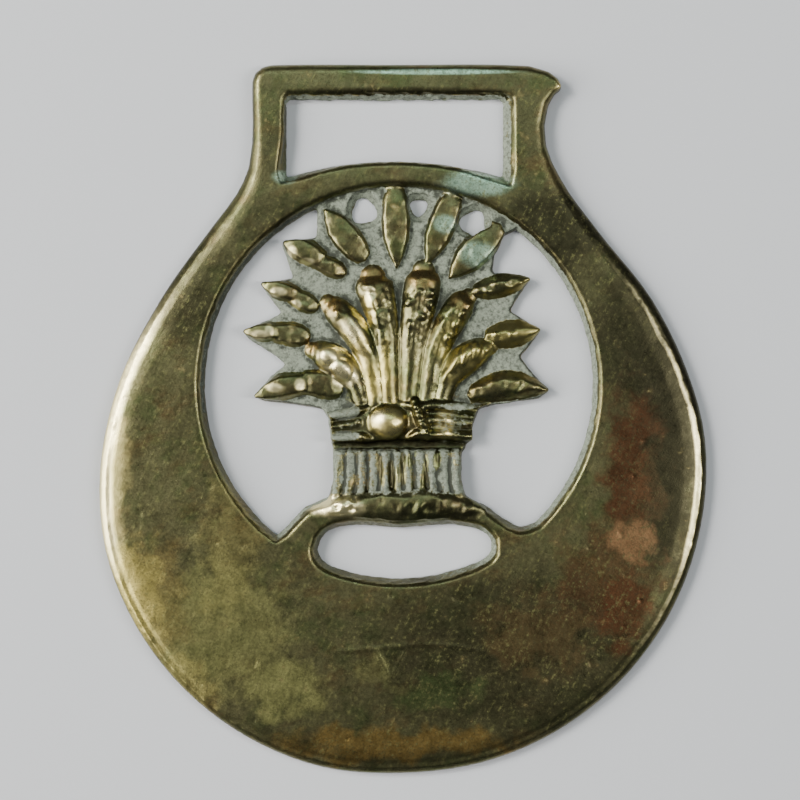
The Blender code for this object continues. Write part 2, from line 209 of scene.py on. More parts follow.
# Height in the middle, how wide the sloping edge is as a share of the half width, how full the
# root and the tip are, and the height of the lumps
leafKinds = {
    "tipPlate": {"height": 1.22, "edge": 0.50, "root": 0.78, "tip": 0.55, "lumps": 0.05},
    "backPlate": {"height": 0.90, "edge": 0.45, "root": 0.55, "tip": 0.85, "lumps": 0.09},
    "flat": {"height": 0.95, "edge": 0.32, "root": 0.6, "tip": 0.5, "lumps": 0.04},
    "domed": {"height": 1.15, "edge": 0.85, "root": 0.6, "tip": 0.55, "lumps": 0.16},
}
# Stations are shares of a leaf's length. The middle widths stand between those of the root and
# the tip, and crown is the share by which a leaf is lower at its sides.
leafShape = {
    "widthStations": [-0.05, 0, 0.18, 0.42, 0.65, 0.85, 1],
    "middleWidths": (0.88, 1, 0.9),
    "endWidth": 0.05,
    "heightStations": [0, 0.2, 0.4, 0.6, 0.8, 1],
    "heights": [0.6, 0.9, 1, 0.97, 0.85, 0.5],
    "crown": 0.18,
    "lumpSize": 4.2,
}

# Each ear from its head down its stem: place and half width. The head ends in a smooth cap of
# the given length, and even rows of kernels of the given height follow. Grains are place, half
# length, half width, turn and height.
ears = [
    {"line": [(-43, 17, 4.5), (-39.5, 16, 6.5), (-33, 12.5, 8),
              (-26.5, 7, 7.5), (-22, 1, 5.5), (-19, -8, 4.5)],
     "cap": 5, "kernels": 0.0,
     "grains": [(-35, 14.5, 5, 5, -25, 0.45), (-28.5, 7.5, 6, 5.5, -45, 0.50)]},
    {"line": [(-35.5, 41, 4.5), (-31.5, 37.5, 7), (-24.5, 30, 7.5),
              (-18.5, 20.5, 6.5), (-14, 9, 6), (-11.5, -9, 5)],
     "cap": 7, "kernels": 0.0,
     "grains": [(-30.5, 35, 3, 2.4, -50, 0.22), (-21, 25, 13, 5.5, -56, 0.30)]},
    {"line": [(-13, 54, 6.5), (-12.6, 50, 9.5), (-10.5, 43, 9),
              (-7.5, 30.5, 7.5), (-6, 18, 6.3), (-4.5, -9, 5)],
     "cap": 6, "kernels": 0.10,
     "grains": [(-15.5, 48.3, 3.6, 2.4, -10, 0.3), (-14.5, 41, 5, 3.6, -60, 0.34),
                (-11, 33, 5.5, 3, -75, 0.3), (-8.5, 43, 4, 3, -80, 0.15), (-6, 34, 4, 3, -80, 0.15),
                (-8.5, 23.5, 4, 2.4, -80, 0.2)]},
    {"line": [(12.5, 57, 6), (12.2, 52, 9), (10.5, 42, 9),
              (8.5, 30, 8), (7, 18, 6.8), (5, -9, 5)],
     "cap": 7, "kernels": 0.13,
     "grains": [(16.5, 45.5, 2.2, 2, 0, 0.35), (16.3, 39.5, 2.2, 2, 0, 0.35),
                (4.5, 41, 2.4, 2.2, 0, 0.3), (5.3, 30, 2.6, 2, 80, 0.25),
                (10, 46, 2.6, 2.2, 0, 0.2), (11.5, 34, 2.4, 2, 0, 0.2)]},
    {"line": [(35, 44, 4.5), (31.5, 40.5, 7), (27, 33.5, 7.5),
              (22, 24.5, 7), (18, 13, 6.5), (14, -9, 5)],
     "cap": 6, "kernels": 0.08,
     "grains": [(36.3, 39.5, 2.2, 2, 0, 0.26), (32.5, 34.8, 2.8, 2.2, 45, 0.3),
                (29, 29.5, 2.6, 2.2, 60, 0.3), (25, 23, 2.6, 2.1, 30, 0.28),
                (26, 37, 3.4, 2.6, 50, 0.14), (22, 30, 3.4, 2.4, 55, 0.14)]},
    {"line": [(45.5, 19, 4.5), (40.5, 17, 6.8), (33.5, 12.5, 8),
              (27.5, 6.5, 7), (24, 0, 5.5), (21, -9, 4.5)],
     "cap": 4, "kernels": 0.0,
     "grains": [(45, 18, 2.2, 4.2, -15, 0.3), (39, 17, 2.2, 5.5, -15, 0.28),
                (33.5, 14.5, 2.2, 6, -18, 0.3), (28, 11, 2.2, 6, -25, 0.3), (23, 4, 2.4, 4, -35, 0.2)]},
]
# The shares are of the height, one for each place on an ear's line
earRelief = {
    "height": 1.45,
    "shares": (0.45, 0.95, 1, 0.88, 0.75, 0.7),
    "creaseDepth": 0.02,
    "creaseHalfWidth": 0.9,
    "kernelPitch": 3.6,
    "rowsPerPitch": 1.15,
    "kernelRadius": 0.55,
    "kernelsEnd": (34, 44),
    "margin": 10,
}

# The bed, the outer turns and the tail are lines of places, and those of the bed and the tail
# add half width and height. The cord's radius and sway are shares of the turns' spacing.
band = {
    "reach": (-34, -6),
    "bed": [(-34, -21.5, 8.5, 0.95), (0, -18.5, 8.5, 1.1), (37, -19.5, 8.5, 0.95)],
    "topTurn": ((-34.5, -16.5), (-19, -12.8), (1, -11.2), (23, -11), (38, -13)),
    "bottomTurn": ((-33.5, -27.0), (-19, -26.0), (1, -25.0), (23, -25), (35.5, -26)),
    "turns": 3,
    "cordHeight": 1.55,
    "cordRadius": 0.46,
    "cordSway": 0.08,
    "knot": {"place": (-5.3, -18.8), "halfLength": 11.4, "halfWidth": 9.8, "height": 2.3},
    "tail": [
        (7.5, -9, 2.6, 1.9), (10, -14.5, 3.4, 2.25), (12.5, -20.5, 3.4, 2.25), (14.5, -26, 2.6, 1.8),
    ],
}

# Middle and radius of the three eyelets in the web, and the raised rim round each, whose
# height is in millimetres
eyelets = {
    "holes": [(-17.5, 87, 6.2), (10, 89, 4.2), (37.5, 81, 6.2)],
    "rimOffset": 1.5,
    "rimHalfWidth": 2.0,
    "rimHeight": 0.3,
}


def eyeletRims(u, v):
    # 1 along the raised rims of the eyelets, down to 0 beside them
    rims = np.zeros(len(u))
    for placeU, placeV, radius in eyelets["holes"]:
        fromRim = np.hypot(u - placeU, v - placeV) - radius - eyelets["rimOffset"]
        rims = np.maximum(rims, np.exp(-((fromRim / eyelets["rimHalfWidth"]) ** 2)))
    return rims


def carveLeaf(u, v, leaf):
    rootU, rootV, tipU, tipV, halfWidth, bow, kind = leaf
    style = leafKinds[kind]
    root = np.array((rootU, rootV), float)
    tip = np.array((tipU, tipV), float)
    length = np.linalg.norm(tip - root)
    outward = (tip - root) / length
    along = ((u - rootU) * outward[0] + (v - rootV) * outward[1]) / length
    side = (u - rootU) * -outward[1] + (v - rootV) * outward[0]
    side = side - bow * np.sin(math.pi * np.clip(along, 0, 1))
    widths = [0, style["root"], *leafShape["middleWidths"], style["tip"], leafShape["endWidth"]]
    width = halfWidth * np.interp(along, leafShape["widthStations"], widths)
    shares = np.interp(along, leafShape["heightStations"], leafShape["heights"])
    away = np.abs(side) / np.maximum(width, 0.01)
    edge = fade(1 - away, 0, style["edge"])
    lumps = style["lumps"] * clouds(u + v, u - v, leafShape["lumpSize"], 25)
    inside = (along > leafShape["widthStations"][0]) & (along < 1) & (away < 1)
    return inside * (style["height"] * shares * (1 - leafShape["crown"] * away**2) + lumps) * edge


def carveEar(u, v, ear):
    shares = earRelief["shares"]
    line = smoothLine([(*station, share) for station, share in zip(ear["line"], shares)])
    along, past, side, (halfWidth, share) = alongLine(line, u, v)
    across = side / halfWidth
    away = np.hypot(across, past / halfWidth)
    height = earRelief["height"] * share * np.clip(1 - away**2.2, 0, 1) ** 0.6
    # A shallow crease between the cap and the grains
    crease = np.exp(-((along - ear["cap"]) / earRelief["creaseHalfWidth"]) ** 2)
    height = height - earRelief["creaseDepth"] * (away < 1) * crease
    pitch = earRelief["kernelPitch"]
    sideways = side / pitch * earRelief["rowsPerPitch"]
    column = np.round(sideways)
    row = along / pitch + 0.5 * (column % 2)
    radius = earRelief["kernelRadius"]
    bump = hill(sideways - column, row - np.round(row), (0, 0), radius, radius)
    belowCap = fade(along, ear["cap"], ear["cap"] + 2)
    onGrains = belowCap * (1 - fade(along, *earRelief["kernelsEnd"])) * (away < 1)
    height = height + ear["kernels"] * (bump - 0.5) * onGrains
    lumps = 0
    for placeU, placeV, halfLength, width, turn, top in ear["grains"]:
        lumps = np.maximum(lumps, top * hill(u, v, (placeU, placeV), halfLength, width, turn))
    return np.maximum(height + lumps * (away < 1), 0)


def carveBand(u, v):
    _, _, side, (halfWidth, height) = alongLine(smoothLine(band["bed"]), u, v)
    bed = height * np.clip(1 - (side / halfWidth) ** 4, 0, 1)
    top = np.interp(u, *zip(*band["topTurn"]))
    bottom = np.interp(u, *zip(*band["bottomTurn"]))
    last = band["turns"] - 1
    turn = (v - bottom) / (top - bottom) * last + band["cordSway"] * clouds(u, v, 7, 33)
    nearest = np.clip(np.round(turn), 0, last)
    cord = np.sqrt(np.clip(1 - ((turn - nearest) / band["cordRadius"]) ** 2, 0, 1))
    uneven = 1 + 0.15 * clouds(u, nearest * 9 + v / 9, 5, 34) + 0.05 * clouds(u + v, nearest * 9, 2, 35)
    cords = cord * band["cordHeight"] * uneven
    knot = band["knot"]
    knotU, knotV = knot["place"]
    away = np.hypot((u - knotU) / knot["halfLength"], (v - knotV) / knot["halfWidth"])
    button = knot["height"] * np.clip(1 - away**2.2, 0, 1) ** 0.55 * (1 + 0.03 * clouds(u, v, 5, 36))
    # The cords sink towards the knot
    cords = cords * (0.55 + 0.45 * fade(away, 1.0, 1.35))
    along, past, side, (halfWidth, height) = alongLine(smoothLine(band["tail"]), u, v)
    away = np.hypot(side, past) / halfWidth
    tail = height * np.clip(1 - away**2, 0, 1) ** 0.5 * (1 - 0.10 * np.cos(along * 1.3 + side * 0.5))
    return np.maximum.reduce([bed, cords, tail, button])


def carveSheaf(u, v):
    # Height of the carvings above the web
    height = np.zeros(len(u))
    for leaf in leaves:
        height = np.maximum(height, carveLeaf(u, v, leaf))
    for ear in ears:
        stations = np.array(ear["line"])
        low = stations[:, :2].min(0) - earRelief["margin"]
        high = stations[:, :2].max(0) + earRelief["margin"]
        near = inBox(u, v, (low, high))
        height[near] = np.maximum(height[near], carveEar(u[near], v[near], ear))
    near = (v > band["reach"][0]) & (v < band["reach"][1])
    height[near] = np.maximum(height[near], carveBand(u[near], v[near]))
    return height


# The brass: a fine mesh from the CAD solid, which is then carved

# Unevenness is pairs of the size and the height of its lumps
casting = {
    "voxel": 0.16,
    "quickVoxel": 0.32,
    "softenings": (3, 2),
    "triangles": 192000,
    "plateUnevenness": [(7.0, 0.05), (2.4, 0.022), (0.9, 0.012)],
    "reliefUnevenness": [(1.4, 0.04), (0.6, 0.03)],
    "webUnevenness": [(1.6, 0.06), (0.7, 0.05), (0.4, 0.03)],
    "wallUnevenness": [(1.3, 0.05), (0.5, 0.03)],
    "slotTopUnevenness": [(0.9, 0.16), (0.45, 0.08)],
}


def voxelSize():
    return casting["voxel"]


# Streaks down the cut stalks, and the knobs, dents and slanting cuts of the foot. Stalks that
# stand out are place, half length, half width, turn and share; knobs are place, size and height.
stalksAndFoot = {
    "proudStalks": [
        ((-3.5, -47), 12, 3.5, 95, 1), ((13, -43), 8, 2.5, 80, 1), ((19, -38), 6, 2.5, 85, 1),
    ],
    "proudHeight": 0.15,
    "knobs": [((-33, -62), 8, 0.42), ((-24, -59.5), 6, 0.25), ((-15, -57.5), 6, 0.16)],
    "dents": [(-31, -61.5), (-23.5, -62), (-22.5, -57)],
    "dentSize": (1.9, 1.5),
    "dentDepth": 0.30,
    "cutDepth": 0.26,
    "lumpHeight": 0.16,
}


def roughenStalksAndFoot(u, v, z):
    f = stalksAndFoot
    rise = np.zeros(len(u))
    inStalks = fade(v, -56, -51) * (1 - fade(v, -33, -31)) * (1 - fade(np.abs(u), 32, 36))
    rise += inStalks * (0.17 * clouds(u, v / 7, 1.9, 11) + 0.12 * clouds(u, v / 3, 3.4, 12))
    rise += inStalks * f["proudHeight"] * hills(u, v, f["proudStalks"])
    onFoot = fade(v, -69, -65) * (1 - fade(v, -58, -53)) * (1 - fade(np.abs(u), 42, 47))
    onFoot = onFoot * fade(z, 2.3, 2.7)
    slant = clouds(u * 0.8 - v * 0.5, v * 0.4 + u * 0.2, 3.4, 21)
    rise += onFoot * f["cutDepth"] * slant * fade(u, -10, 8)
    rise += onFoot * f["lumpHeight"] * clouds(u, v, 4, 22)
    for place, size, height in f["knobs"]:
        rise += onFoot * height * hill(u, v, place, size, size * 0.6)
    for place in f["dents"]:
        rise -= onFoot * f["dentDepth"] * hill(u, v, place, *f["dentSize"])
    return rise


# The plate's slope down to its rim, a faint ridge with two slants under it, and pits
crescent = {
    "middleY": -6.35,
    "rimRadius": 38.6,
    "domeWidth": 10,
    "domeDepth": 0.22,
    "domeEnds": (-8, 14),
    "ridgeY": -28.3,
    "ridgeBend": 0.0075,
    "ridgeHeight": 0.06,
    "ridgeHalfWidth": 0.3,
    "slants": [((-2.6, -30.4), 2.6, 0.35, -62), ((-0.4, -30.4), 2.4, 0.35, 62)],
    "slantHeight": 0.05,
    "pits": 70,
    "pitSize": (0.18, 0.4),
    "pitDepth": (0.02, 0.05),
}


def doming(x, y):
    # How far the crescent slopes down towards its rim
    c = crescent
    fromRim = c["rimRadius"] - np.hypot(x, y - c["middleY"])
    slope = np.clip(1 - fromRim / c["domeWidth"], 0, 1) ** 2
    return (1 - fade(y, *c["domeEnds"])) * c["domeDepth"] * slope


def carvePlate(x, y, rise, onPlate):
    c = crescent
    rise -= onPlate * doming(x, y)
    # A faint curved ridge, with two short slanting ones under it
    ridgeY = c["ridgeY"] - c["ridgeBend"] * (x - 1) ** 2 + 0.2 * np.sin(x / 3)
    onRidge = fade(x, -10, -7) * (1 - fade(x, 8, 11))
    rise += onPlate * onRidge * c["ridgeHeight"] * np.exp(-((y - ridgeY) / c["ridgeHalfWidth"]) ** 2)
    for slant in c["slants"]:
        rise += onPlate * c["slantHeight"] * hill(x, y, *slant)
    # Pits and small knocks
    rng = np.random.default_rng(5)
    for _ in range(c["pits"]):
        place = rng.uniform((-38, -44), (38, 44))
        size = rng.uniform(*c["pitSize"])
        near = (np.abs(x - place[0]) < 2) & (np.abs(y - place[1]) < 2)
        depth = rng.uniform(*c["pitDepth"])
        stretch = rng.uniform(1, 2.2)
        turn = rng.uniform(0, 180)
        rise[near] -= onPlate[near] * depth * hill(x[near], y[near], place, size * stretch, size, turn)


def unevenness(name, x, y, seed):
    rough = np.zeros(len(x))
    for number, (size, depth) in enumerate(casting[name]):
        rough += depth * clouds(x, y, size, seed + number)
    return rough


# Boxes are two corners in millimetres; the hanger's is where the outline isn't the crescent's.
# The other limits are distances from the window's middle in the sheaf's hundredths.
zoneLimits = {
    "slot": ((-15.9, 28), (14.4, 41.2)),
    "slotTopY": 39.2,
    "hanger": ((-17.5, 27), (16, 43)),
    "plateFrom": 98,
    "sheafTo": 101,
    "openingTo": 103.5,
    "outerFrom": 106,
}


def whereOnBrass(points, normals):
    # Shares of each zone at every vertex
    x, y, z = points.T
    u, v = toSheaf(x, y)
    away = np.hypot(u, v)
    limits = zoneLimits
    inSlot = inBox(x, y, limits["slot"])
    inWindow = away < limits["sheafTo"]
    return {
        "opening": (away < limits["openingTo"]) | inSlot,
        "outer": (away > limits["outerFrom"]) & ~inBox(x, y, limits["hanger"]),
        "slotTop": inSlot & (y > limits["slotTopY"]),
        "up": fade(normals[:, 2], 0.15, 0.75),
        "onPlate": fade(z, 2.0, 2.3) * ~((away < limits["plateFrom"]) & (v > -56)),
        "sheaf": inWindow & (v > -66),
        "inStalks": fade(v, -57, -53) * (1 - fade(v, -33, -30)) * inWindow * (np.abs(u) < 42),
        "reshaped": (1 - fade(away, 96.5, 99)) * fade(v, -34, -32) * fade(z, 1.12, 1.2),
    }


def carve(mesh):
    # The finer sheaf takes the place of the solid's own
    points, normals = readVertices(mesh)
    zones = whereOnBrass(points, normals)
    x, y, z = points.T
    u, v = toSheaf(x, y)
    carvings = np.maximum(carveSheaf(u, v), eyelets["rimHeight"] * eyeletRims(u, v))
    target = window["webTop"] + carvings
    points[:, 2] += (target - z) * zones["reshaped"]
    points[:, 2] += roughenStalksAndFoot(u, v, z) * zones["up"] * fade(z, 1.5, 1.9)
    writeVertices(mesh, points)


def roughen(mesh):
    # Doming and casting skin on the faces, and rough walls in the openings
    points, normals = readVertices(mesh)
    zones = whereOnBrass(points, normals)
    x, y, z = points.T
    onPlate = zones["up"] * zones["onPlate"]
    onRelief = zones["up"] * (1 - zones["onPlate"]) * fade(z, 1.5, 1.8)
    onWeb = zones["sheaf"] * zones["up"] * (1 - fade(z, 1.5, 1.8))
    rise = np.zeros(len(points))
    carvePlate(x, y, rise, onPlate)
    rise += onPlate * unevenness("plateUnevenness", x, y, 41)
    rise += onRelief * unevenness("reliefUnevenness", x, y, 51)
    rise += onWeb * unevenness("webUnevenness", x, y, 55)
    points[:, 2] += rise
    sideways = 1 - fade(np.abs(normals[:, 2]), 0.5, 0.8)
    slotTop = zones["slotTop"]
    rough = unevenness("wallUnevenness", x + y, z * 1.4 + (x - y), 61) * ~slotTop
    rough += unevenness("slotTopUnevenness", x + y, z * 1.4, 65) * slotTop
    points += normals * (rough * sideways * zones["opening"])[:, None]
    low, high = (np.array(corner) * 1000 for corner in cadBox)
    writeVertices(mesh, np.clip(points, low, high))


# What lies on the surface, and where highlights and shade are painted. Rows and spots are place,
# half length and half width in the sheaf's hundredths, and rows add turn and strength. Levels are
# millimetres above the back.
marks = {
    "fineRounds": 12,
    "wideRounds": 90,
    "rubbedStalks": [
        ((-3.5, -47), 12, 2.2, 95, 1), ((-9, -43), 9, 1.8, 100, 1), ((2, -42), 9, 2, 92, 1),
        ((13, -43), 8, 1.6, 80, 1), ((19, -38), 6, 1.8, 88, 1),
    ],
    "bandResidue": [
        ((-28, -13), 9, 5, 0, 1), ((-27, -26), 8, 3, 0, 1), ((30, -11), 12, 2, 0, 0.7),
        ((27, -19), 12, 8, 0, 0.42), ((-25, -19), 10, 8, 0, 0.3),
    ],
    "mostBandResidue": 0.7,
    "rimResidue": 0.95,
    "shadowUnderBand": ((2, -30), 42, 2.6),
    "betweenStems": ((1, -6), 30, 34),
    "bevelTopLevel": 2.44,
    "brightLineLevel": 2.24,
    "brightLineHalfWidth": 0.06,
    "brightLine": 0.85,
    "brightFlanks": 0.32,
}


def markSurface(mesh):
    # What the material needs to know about the shape: where residue, wear and dirt lie, and where
    # highlights and shade are painted
    m = marks
    points, normals = readVertices(mesh)
    zones = whereOnBrass(points, normals)
    x, y, z = points.T
    u, v = toSheaf(x, y)
    finer = (casting["voxel"] / voxelSize()) ** 2
    fineHollow = spread(mesh, z, round(m["fineRounds"] * finer) + 1) - z
    wideHollow = spread(mesh, z, round(m["wideRounds"] * finer) + 2) - z
    carving = fade(carveSheaf(u, v), 0.04, 0.22)

    # Residue: on the web, the walls, the stalks, parts of the band and the eyelets' rims
    aboveStalks = fade(v, -33, -30)
    web = zones["sheaf"] * (1 - carving) * aboveStalks * (1 - fade(z, 1.5, 1.75)) * (z > 0.9)
    wall = zones["opening"] * (1 - fade(np.abs(normals[:, 2]), 0.6, 0.85)) * (1 - fade(z, 1.7, 2.1))
    wall = wall * (1 - zones["sheaf"] * (np.hypot(u, v) < 96) * (z > window["webTop"] + 0.1))
    # Walls that face the light get more of the pale colour and the others less: painted light on the
    # residue
    lit = np.maximum(fade(-normals[:, 0], 0.1, 0.5), zones["slotTop"])
    paleWall = wall * (0.30 + 0.45 * lit)
    onBand = np.minimum(hills(u, v, m["bandResidue"]), m["mostBandResidue"])
    streaks = 0.5 + 0.5 * clouds(u, v / 6, 1.5, 71) + 0.3 * clouds(u, v / 2, 2.5, 72)
    notRubbed = 1 - np.minimum(hills(u, v, m["rubbedStalks"]), 1)
    stalks = zones["inStalks"] * np.clip(0.25 + 0.7 * streaks, 0, 0.9) * notRubbed
    # A painted shadow below the band: dark, and without residue
    shadowUnderBand = hill(u, v, *m["shadowUnderBand"]) * (v < -27)
    # Painted shade between the stems: dark, with less residue
    betweenStems = (1 - carving) * hill(u, v, *m["betweenStems"]) * (v > -10)
    hollow = zones["sheaf"] * fade(wideHollow, 0.12, 0.5) * 0.35
    pale = np.maximum.reduce([web * (1 - betweenStems), paleWall, stalks, onBand, hollow])
    rims = eyeletRims(u, v) * (1 - carving) * zones["sheaf"]
    pale = np.maximum(pale * (1 - shadowUnderBand), m["rimResidue"] * rims)

    # A painted highlight on the bevel round the edge: broad on the left, and along one line on the
    # right
    level = z + doming(x, y)
    leftBevel = fade(-x, 14, 30) * fade(z, 1.0, 1.3) * (1 - fade(level, 2.1, m["bevelTopLevel"]))
    leftBevel = leftBevel * (0.10 + 0.90 * fade(y, -23, -13)) * (1 - 0.9 * fade(y, 4, 18))
    fromLine = (level - m["brightLineLevel"]) / m["brightLineHalfWidth"]
    onLine = fade(x, 22, 32) * np.exp(-(fromLine ** 2))
    onLine = onLine * fade(y, -34, -26) * (0.4 + 0.6 * fade(y, -24, -14))
    # The flanks of the carvings that face the lower left get a painted highlight too
    towardsLowerLeft = -0.75 * normals[:, 0] - 0.5 * normals[:, 1]
    flank = fade(towardsLowerLeft, 0.12, 0.42) * zones["up"] * zones["sheaf"]
    flank = flank * carving * (1 - fade(x, -1, 3)) * (0.25 + 0.75 * fade(v, -2, 20))
    paintedHighlight = zones["outer"] * (leftBevel + m["brightLine"] * onLine) + m["brightFlanks"] * flank

    # Painted shade at the foot of the edge where it isn't lit, under the band, between the stems
    # and on walls facing away from the light; dirt and painted shade in the hollows and gaps
    glow = fade(-x, 14, 30) * fade(y, -22, -13) * (1 - fade(y, 2, 12))
    shadedEdge = zones["outer"] * (1 - fade(level, 1.3, 2.05)) * (1 - glow)
    gaps = zones["inStalks"] * fade(fineHollow, 0.0, 0.04)
    shadeAndDirt = np.maximum.reduce([
        fade(fineHollow, 0.012, 0.10), shadowUnderBand, gaps, betweenStems, 0.5 * wall * (1 - lit),
        0.6 * web * fade(wideHollow, 0.10, 0.35), 0.8 * shadedEdge,
    ])
    shadeAndDirt = shadeAndDirt * (1 - 0.9 * rims)

    # Wear on fine ridges and corners
    worn = fade(-fineHollow, 0.012, 0.07) * (1 - wall) * (1 - 0.6 * zones["sheaf"])
    worn = worn * (1 - shadedEdge)
    keepOnVertices(mesh, "pale", spread(mesh, pale, 1))
    keepOnVertices(mesh, "worn", spread(mesh, worn, 1))
    keepOnVertices(mesh, "paintedHighlight", spread(mesh, paintedHighlight, 1))
    keepOnVertices(mesh, "shadeAndDirt", spread(mesh, shadeAndDirt, 1))


def makeBrass():
    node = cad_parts["horse_brass"]
    mesh = node.data.copy()
    bm = bmesh.new()
    bm.from_mesh(mesh)
    bmesh.ops.remove_doubles(bm, verts=bm.verts, dist=1e-6)
    bm.to_mesh(mesh)
    bm.free()
    brass = bpy.data.objects.new("brass_casting", mesh)
    bpy.context.scene.collection.objects.link(brass)
    first, second = casting["softenings"]
    remesh(brass, voxelSize(), first)
    carve(brass.data)
    remesh(brass, voxelSize(), second)
    print("brass: fine mesh of", len(brass.data.vertices), "vertices")
    roughen(brass.data)
    markSurface(brass.data)
    print("brass: carved")
    thin = brass.modifiers.new("thin", "DECIMATE")
    triangles = sum(len(face.vertices) - 2 for face in brass.data.polygons)
    thin.ratio = min(1, casting["triangles"] / triangles)
    applyModifiers(brass)
    brass.data.shade_smooth()
    print("brass:", len(brass.data.polygons), "faces after thinning")
    return brass


# Materials

class Wire:
    # An output socket that takes part in sums, adding a Math node for each

    def __init__(self, shading, socket):
        self.shading = shading
        self.socket = socket

    def maths(self, operation, first, second):
        return self.shading.add("ShaderNodeMath", {"operation": operation}, {0: first, 1: second})

    def __add__(self, other):
        return self.maths("ADD", self, other)

    __radd__ = __add__

    def __sub__(self, other):
        return self.maths("SUBTRACT", self, other)

    def __rsub__(self, other):
        return self.maths("SUBTRACT", other, self)

    def __mul__(self, other):
        return self.maths("MULTIPLY", self, other)

    __rmul__ = __mul__

    def between(self, low, high):
        # 0 at low, 1 at high, held at those beyond
        return self.shading.add(
            "ShaderNodeMapRange", {"clamp": True, "interpolation_type": "SMOOTHSTEP"},
            {"Value": self, "From Min": low, "From Max": high},
        )


class Shading:
    def __init__(self, name):
        self.material = bpy.data.materials.new(name)
        self.material.use_nodes = True
        self.tree = self.material.node_tree
        self.shader = self.tree.nodes["Principled BSDF"]

    def feed(self, socket, value):
        if isinstance(value, Wire):
            self.tree.links.new(value.socket, socket)
        else:
            socket.default_value = value

    def add(self, kind, settings=None, sockets=None, output=0):
        node = self.tree.nodes.new(kind)
        for name, value in (settings or {}).items():
            setattr(node, name, value)
        for name, value in (sockets or {}).items():
            self.feed(node.inputs[name], value)
        return Wire(self, node.outputs[output])

    def attribute(self, name):
        return self.add("ShaderNodeAttribute", {"attribute_name": name}, output="Fac")

    def noise(self, place, scale, detail=3, roughness=0.55):
        return self.add(
            "ShaderNodeTexNoise", {},
            {"Vector": place, "Scale": scale, "Detail": detail, "Roughness": roughness}, "Fac",
        )

    def turned(self, place, degrees, stretch):
        # The same place, turned and then stretched along the new first axis
        return self.add(
            "ShaderNodeMapping", {"vector_type": "TEXTURE"},
            {"Vector": place, "Rotation": (0, 0, math.radians(degrees)), "Scale": (stretch, 1, 1)},
        )

    def warped(self, place, scale, reach):
        # The same place, moved about by a noise, so that shapes drawn there get irregular
        wander = self.add(
            "ShaderNodeTexNoise", {}, {"Vector": place, "Scale": scale, "Detail": 3}, "Color",
        )
        shift = self.add(
            "ShaderNodeVectorMath", {"operation": "SUBTRACT"}, {0: wander, 1: (0.5, 0.5, 0.5)},
        )
        return self.add(
            "ShaderNodeVectorMath", {"operation": "MULTIPLY_ADD"},
            {0: shift, 1: (reach, reach, 0), 2: place},
        )

    def blend(self, first, second, share):
        return self.add("ShaderNodeMix", {"data_type": "RGBA"}, {0: share, 6: first, 7: second}, 2)

    def spot(self, place, centre, reach):
        # 1 at a place on the brass, in millimetres, down to 0 that far from it
        away = self.add(
            "ShaderNodeVectorMath", {"operation": "SUBTRACT"}, {0: place, 1: (centre[0], centre[1], 0)},
        )
        flat = self.add(
            "ShaderNodeVectorMath", {"operation": "DIVIDE"}, {0: away, 1: (reach[0], reach[1], 1000)},
        )
        distance = self.add("ShaderNodeVectorMath", {"operation": "LENGTH"}, {0: flat}, "Value")
        return 1 - distance.between(0, 1)


# The painted shade on the right side and the polished sheaf are a place and a reach; patches that
# reach further than looseFrom get an irregular outline
brassFinish = {
    "olive": (0.165, 0.156, 0.074, 1),
    "paleOlive": (0.335, 0.325, 0.120, 1),
    "gold": (0.76, 0.63, 0.25, 1),
    "oldGold": (0.60, 0.495, 0.15, 1),
    "highlightGold": (0.98, 0.86, 0.46, 1),
    "moss": (0.095, 0.125, 0.045, 1),
    "umber": (0.17, 0.105, 0.045, 1),
    "tarnishAndShade": (0.050, 0.046, 0.025, 1),
    "dirtAndShade": (0.030, 0.027, 0.017, 1),
    "rust": (0.125, 0.054, 0.026, 1),
    "tan": (0.36, 0.20, 0.095, 1),
    "honey": (0.26, 0.175, 0.055, 1),
    "headBrown": (0.26, 0.17, 0.06, 1),
    "mint": (0.42, 0.58, 0.42, 1),
    "residue": (0.255, 0.285, 0.22, 1),
    "residueDark": (0.040, 0.045, 0.032, 1),
    "roughness": 0.36,
    "residueRoughness": 0.85,
    "bumpStrength": 0.5,
    "bumpDistance": 0.07,
    "shadedRightSide": ((37, 0), (20, 38)),
    "polished": ((-0.5, 7), (24, 26)),
    "looseFrom": 3,
}
